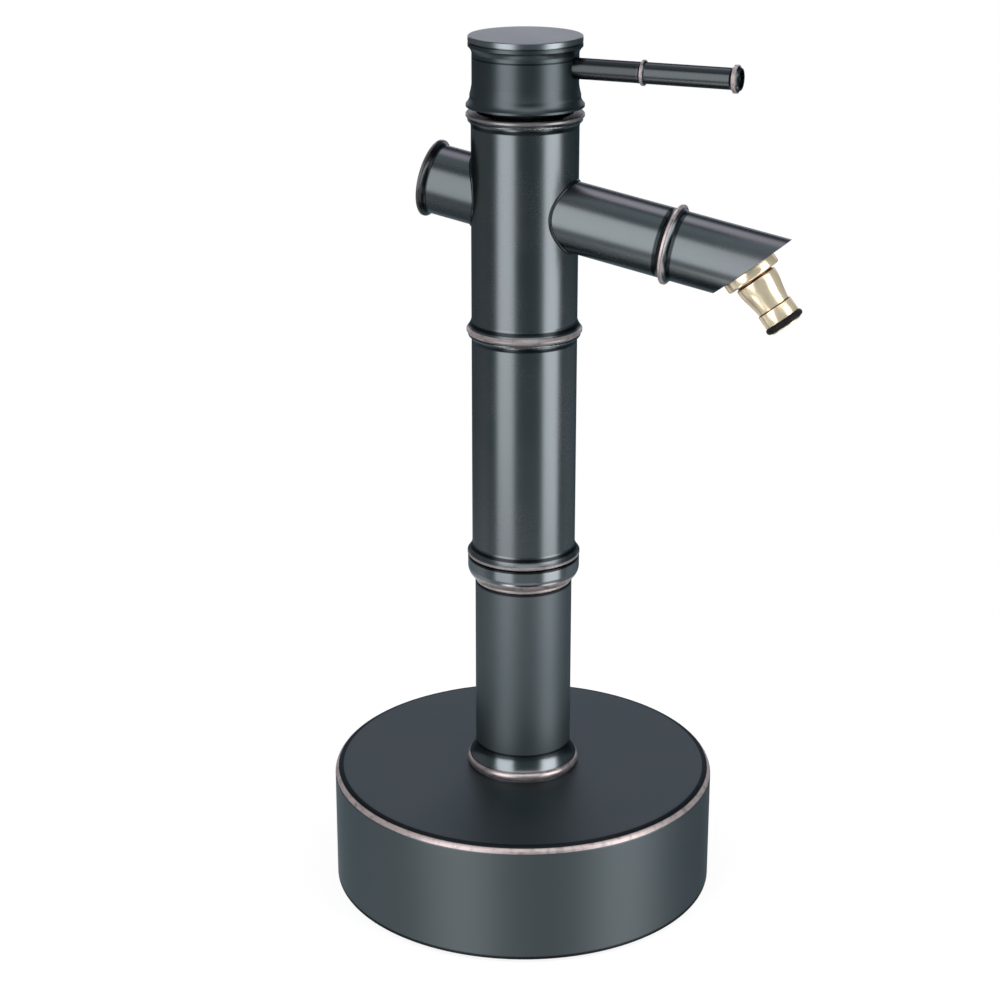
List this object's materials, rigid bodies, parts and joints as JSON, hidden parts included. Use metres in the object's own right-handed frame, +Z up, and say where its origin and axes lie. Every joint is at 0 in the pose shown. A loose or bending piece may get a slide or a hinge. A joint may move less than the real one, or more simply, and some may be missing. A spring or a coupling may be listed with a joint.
{
  "type": "garden standpipe",
  "caption": "Bamboo-style garden standpipe on a round weighted base, with a quarter-turn lever, a sloping spout ending in a hose connector and a closed rear branch.",
  "frame": {"origin": "on the column's axis at ground level, under the middle of the round base", "axes": "+Z up along the column, +X along the spout and the closed lever, +Y to the spout's left"},
  "size_m": [0.2103, 0.174, 0.39],
  "materials": {
    "bronze_finish": "satin dark slate bronze, rubbed to copper along the edges",
    "brass": "polished, pale gold",
    "plain_brass": "turned, unpolished",
    "copper": "drawn copper tube",
    "steel": "zinc plated",
    "iron": "as cast",
    "rubber": "matt black",
    "cartridge_plastic": "moulded, dark grey",
    "ceramic": "lapped"
  },
  "bodies": {
    "column": {"base_cover": "bronze_finish", "ballast_ring": "iron", "base_plate": "steel", "base_plate_screws": "steel", "rubber_feet": "rubber", "inlet_fitting": "plain_brass", "inlet_locknut": "plain_brass", "riser_olive": "plain_brass", "riser_compression_nut": "plain_brass", "riser_pipe": "copper", "foot_collar_screws": "steel", "post_foot_collar": "bronze_finish", "post_tube": "bronze_finish", "post_top_collar": "bronze_finish", "tap_shank_plug": "plain_brass", "shank_washer": "steel", "shank_backnut": "plain_brass", "riser_washer": "rubber", "riser_union_nut": "plain_brass", "tap_body": "bronze_finish", "feed_tube": "copper", "valve_block": "plain_brass", "cartridge_seal": "rubber", "cartridge_housing": "cartridge_plastic", "fixed_ceramic_disc": "ceramic", "stem_seal": "rubber", "gland_nut": "bronze_finish", "spout_tube": "bronze_finish", "outlet_tube": "copper", "outlet_plate": "bronze_finish", "connector_washer": "rubber", "hose_connector": "brass", "connector_o_ring": "rubber", "stub_tube": "bronze_finish", "stub_end_cap": "bronze_finish"},
    "lever_head": {"moving_ceramic_disc": "ceramic", "valve_stem": "plain_brass", "lever_cap": "bronze_finish", "cap_top_disc": "bronze_finish", "cap_grub_screw": "steel", "grub_screw_plug": "bronze_finish", "lever_rod": "bronze_finish", "lever_grip": "bronze_finish", "lever_end_button": "bronze_finish"}
  },
  "joints": [
    {"name": "lever_turn", "type": "hinge", "parent": "column", "child": "lever_head", "pos_m": [0, 0, 0.3776], "axis": [0, 0, 1], "range_deg": [0, 90]}
  ]
}
